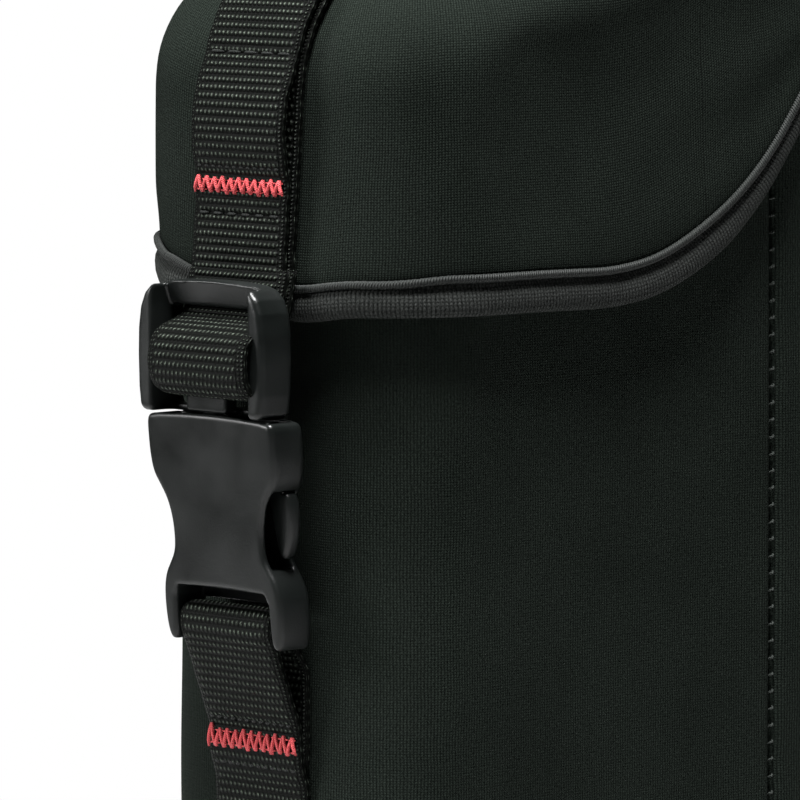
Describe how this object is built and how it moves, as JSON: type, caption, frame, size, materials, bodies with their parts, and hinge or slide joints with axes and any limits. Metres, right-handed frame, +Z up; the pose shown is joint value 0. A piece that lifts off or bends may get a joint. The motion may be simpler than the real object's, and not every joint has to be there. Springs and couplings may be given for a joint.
{
  "type": "telescope carry case",
  "caption": "Tall padded fabric carry case with a hinged lid, a webbing strap that closes it with a side-release buckle, and a webbing handle on top",
  "frame": {"origin": "middle of the base panel's underside, which the case stands on", "axes": "+Z up through the lid, -Y out through the strap and buckle, +X out of a large side face; the hinge is on the +Y side"},
  "size_m": [0.0824, 0.171, 0.2825],
  "materials": {
    "case_fabric": "matt",
    "foam": "open-cell foam",
    "lining": "brushed",
    "webbing": "woven",
    "trim": "knitted",
    "thread": "stitched",
    "buckle_plastic": "fine satin",
    "board": "smooth sheet"
  },
  "bodies": {
    "case": {"front_panel": "case_fabric", "back_panel": "case_fabric", "front_foam": "foam", "back_foam": "foam", "base_panel": "case_fabric", "base_board": "board", "base_foam": "foam", "body_lining": "lining", "mouth_binding": "trim", "lower_webbing": "webbing", "lower_bar_tack": "thread", "hinge_band": "trim", "buckle_female": "buckle_plastic"},
    "lid": {"lid_shell": "case_fabric", "lid_foam": "foam", "lid_lining": "lining", "lid_hem_binding": "trim", "lid_piping": "trim", "lid_strap_under": "webbing", "lid_strap_over": "webbing", "upper_bar_tack": "thread", "top_handle": "webbing", "handle_tack_front": "thread", "handle_tack_back": "thread"},
    "buckle_tail": {"strap_tab": "webbing", "buckle_male": "buckle_plastic"},
    "prong_left": {"buckle_prong_left": "buckle_plastic"},
    "prong_right": {"buckle_prong_right": "buckle_plastic"}
  },
  "joints": [
    {"name": "lid_hinge", "type": "hinge", "parent": "case", "child": "lid", "pos_m": [0, 0.0763, 0.2398], "axis": [-1, 0, 0], "range_deg": [0, 110], "deforming": ["hinge_band"]},
    {"name": "strap_swing", "type": "hinge", "parent": "lid", "child": "buckle_tail", "pos_m": [0, -0.083, 0.178], "axis": [1, 0, 0], "range_deg": [0, 55], "deforming": ["strap_tab"]},
    {"name": "left_prong_squeeze", "type": "hinge", "parent": "buckle_tail", "child": "prong_left", "pos_m": [-0.0121, -0.0881, 0.1573], "axis": [0, -1, 0], "range_deg": [0, 9], "stiffness_Nm_per_rad": 0.02},
    {"name": "right_prong_squeeze", "type": "hinge", "parent": "buckle_tail", "child": "prong_right", "pos_m": [0.0121, -0.0881, 0.1573], "axis": [0, 1, 0], "range_deg": [0, 9], "stiffness_Nm_per_rad": 0.02}
  ],
  "couplings": [
    {"joint": "strap_swing", "follows": "lid_hinge", "ratio": 0.5},
    {"joint": "right_prong_squeeze", "follows": "left_prong_squeeze", "ratio": 1}
  ]
}
